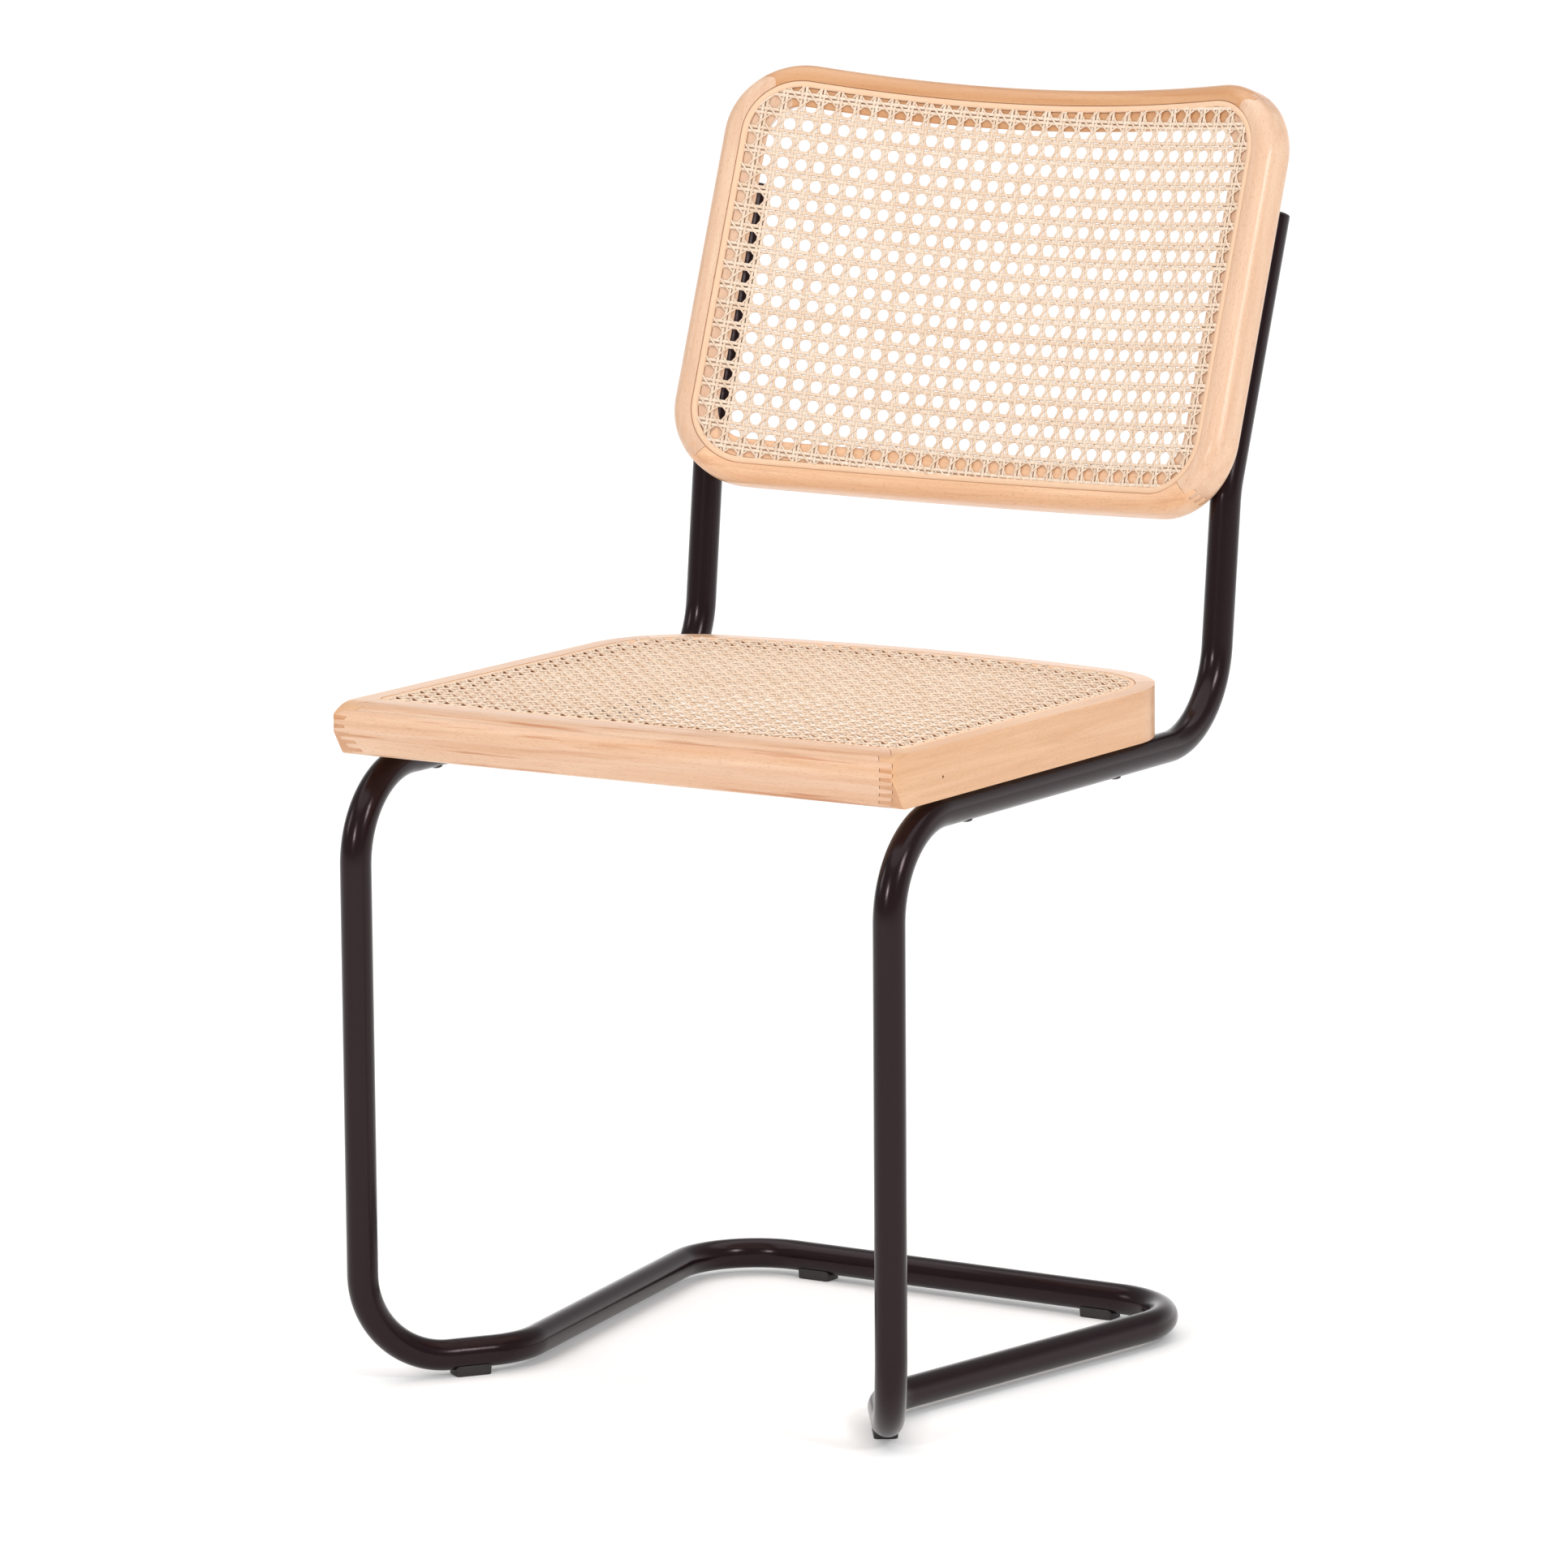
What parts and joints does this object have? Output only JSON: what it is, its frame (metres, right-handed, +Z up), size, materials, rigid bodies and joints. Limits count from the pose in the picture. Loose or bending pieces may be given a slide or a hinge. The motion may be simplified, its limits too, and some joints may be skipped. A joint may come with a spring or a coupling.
{
  "type": "cantilever side chair",
  "caption": "Cantilever side chair: a continuous bent steel tube carries a framed cane seat and a curved, framed cane back.",
  "frame": {"origin": "on the floor, under the middle of the chair's bounding box", "axes": "+X to the right when the chair is seen from the front, +Y from the front rail to the back, +Z up"},
  "size_m": [0.4476, 0.5528, 0.8461],
  "materials": {
    "frame_paint": "satin black powder coat on bent steel tube",
    "black_plastic": "moulded, matt black",
    "beech": "steamed beech, clear satin lacquer",
    "cane": "woven natural cane, dry",
    "reed": "natural reed strip, glued in",
    "steel": "blackened steel wood screws and brads"
  },
  "bodies": {
    "root": {"tube_frame": "frame_paint", "plug_left": "black_plastic", "plug_right": "black_plastic", "glide_front_left": "black_plastic", "glide_front_right": "black_plastic", "glide_rear_left": "black_plastic", "glide_rear_right": "black_plastic", "seat_front_rail": "beech", "seat_rear_rail": "beech", "seat_side_rail_left": "beech", "seat_side_rail_right": "beech", "seat_cane": "cane", "seat_spline": "reed", "seat_brads": "steel", "seat_screws": "steel", "back_top_rail": "beech", "back_bottom_rail": "beech", "back_stile_left": "beech", "back_stile_right": "beech", "back_cane": "cane", "back_spline": "reed", "back_screws": "steel"}
  },
  "joints": []
}
